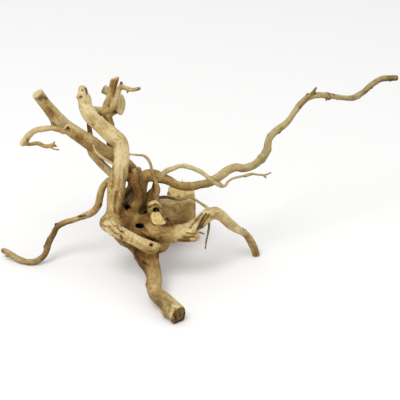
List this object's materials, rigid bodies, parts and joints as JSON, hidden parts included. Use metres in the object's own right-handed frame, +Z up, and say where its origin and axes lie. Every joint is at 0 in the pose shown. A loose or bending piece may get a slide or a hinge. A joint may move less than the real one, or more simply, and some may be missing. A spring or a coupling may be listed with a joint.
{
  "type": "spiderwood root",
  "caption": "Bare branching root crown that stands on its lower roots, with bent, forked and torn roots spreading out on all sides, for an aquarium, terrarium or plant display.",
  "frame": {"origin": "on the ground, under the middle of the root's bounding box", "axes": "+Z up as it stands, +X along the longest reach, towards the tip of the long wandering root; -Y is the front, where the sawn foot comes forward"},
  "size_m": [0.406, 0.206, 0.18],
  "materials": {
    "root_wood": "bare, sandblasted, matt"
  },
  "bodies": {
    "root": {"spiderwood_root": "root_wood"}
  },
  "joints": []
}
